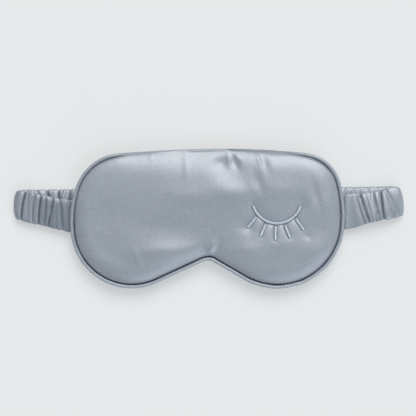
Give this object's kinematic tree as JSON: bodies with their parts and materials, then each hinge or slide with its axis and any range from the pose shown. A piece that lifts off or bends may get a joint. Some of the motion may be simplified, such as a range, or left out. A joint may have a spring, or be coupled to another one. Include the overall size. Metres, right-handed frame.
{
  "type": "sleep mask",
  "caption": "Padded satin sleep mask with a piped edge, a nose notch, an embroidered closed eye and a gathered elastic head strap that opens into a loop.",
  "frame": {"origin": "centre of the mask's width and height, on the table under the flattened strap", "axes": "+X to the embroidered side along the strap, +Y to the forehead edge, +Z out of the front panel"},
  "size_m": [0.298, 0.106, 0.018],
  "materials": {
    "satin": "satin",
    "satin_back": "satin",
    "satin_strap": "gathered satin",
    "piping": "satin",
    "stitching": "satin stitch",
    "elastic": "woven",
    "wadding": "matte",
    "liner": "matte",
    "cord": "matte",
    "backing": "matte"
  },
  "bodies": {
    "strap_mid": {"sleeve_mid": "satin_strap", "elastic_mid": "elastic"},
    "back_left": {"sleeve_back_left": "satin_strap", "elastic_back_left": "elastic", "sleeve_fold_left": "satin_strap", "elastic_fold_left": "elastic"},
    "run_left": {"sleeve_run_left": "satin_strap", "elastic_run_left": "elastic"},
    "mask_left": {"front_panel_left": "satin", "back_panel_left": "satin_back", "wadding_front_left": "wadding", "wadding_back_left": "wadding", "blackout_liner_left": "liner", "piping_cover_left": "piping", "piping_cord_left": "cord", "strap_end_left": "elastic"},
    "back_right": {"sleeve_back_right": "satin_strap", "elastic_back_right": "elastic", "sleeve_fold_right": "satin_strap", "elastic_fold_right": "elastic"},
    "run_right": {"sleeve_run_right": "satin_strap", "elastic_run_right": "elastic"},
    "mask_right": {"front_panel_right": "satin", "back_panel_right": "satin_back", "wadding_front_right": "wadding", "wadding_back_right": "wadding", "blackout_liner_right": "liner", "piping_cover_right": "piping", "piping_cord_right": "cord", "strap_end_right": "elastic", "eyelid_line": "stitching", "embroidery_backing": "backing", "lash_1": "stitching", "lash_2": "stitching", "lash_3": "stitching", "lash_4": "stitching", "lash_5": "stitching"}
  },
  "joints": [
    {"name": "strap_bend_left", "type": "hinge", "parent": "strap_mid", "child": "back_left", "pos_m": [-0.04, 0.0125, 0.0013], "axis": [0, 1, 0], "range_deg": [0, 48]},
    {"name": "fold_left", "type": "hinge", "parent": "back_left", "child": "run_left", "pos_m": [-0.14535, 0.0125, 0.00365], "axis": [0, -1, 0], "range_deg": [0, 118], "deforming": ["sleeve_fold_left", "elastic_fold_left"]},
    {"name": "seam_left", "type": "hinge", "parent": "run_left", "child": "mask_left", "pos_m": [-0.1072, 0.005, 0.0081], "axis": [0, 1, 0], "range_deg": [0, 47]},
    {"name": "nose_fold", "type": "hinge", "parent": "mask_left", "child": "mask_right", "pos_m": [0, 0, 0.0047], "axis": [0, 1, 0], "range_deg": [0, 49]},
    {"name": "strap_bend_right", "type": "hinge", "parent": "strap_mid", "child": "back_right", "pos_m": [0.04, 0.0125, 0.0013], "axis": [0, -1, 0], "range_deg": [0, 48]},
    {"name": "fold_right", "type": "hinge", "parent": "back_right", "child": "run_right", "pos_m": [0.14535, 0.0125, 0.00365], "axis": [0, 1, 0], "range_deg": [0, 118], "deforming": ["sleeve_fold_right", "elastic_fold_right"]}
  ],
  "couplings": [
    {"joint": "fold_left", "follows": "strap_bend_left", "ratio": 2.4462},
    {"joint": "seam_left", "follows": "strap_bend_left", "ratio": 0.9504},
    {"joint": "nose_fold", "follows": "strap_bend_left", "ratio": 0.9916},
    {"joint": "strap_bend_right", "follows": "strap_bend_left", "ratio": 1},
    {"joint": "fold_right", "follows": "strap_bend_left", "ratio": 2.4462}
  ]
}
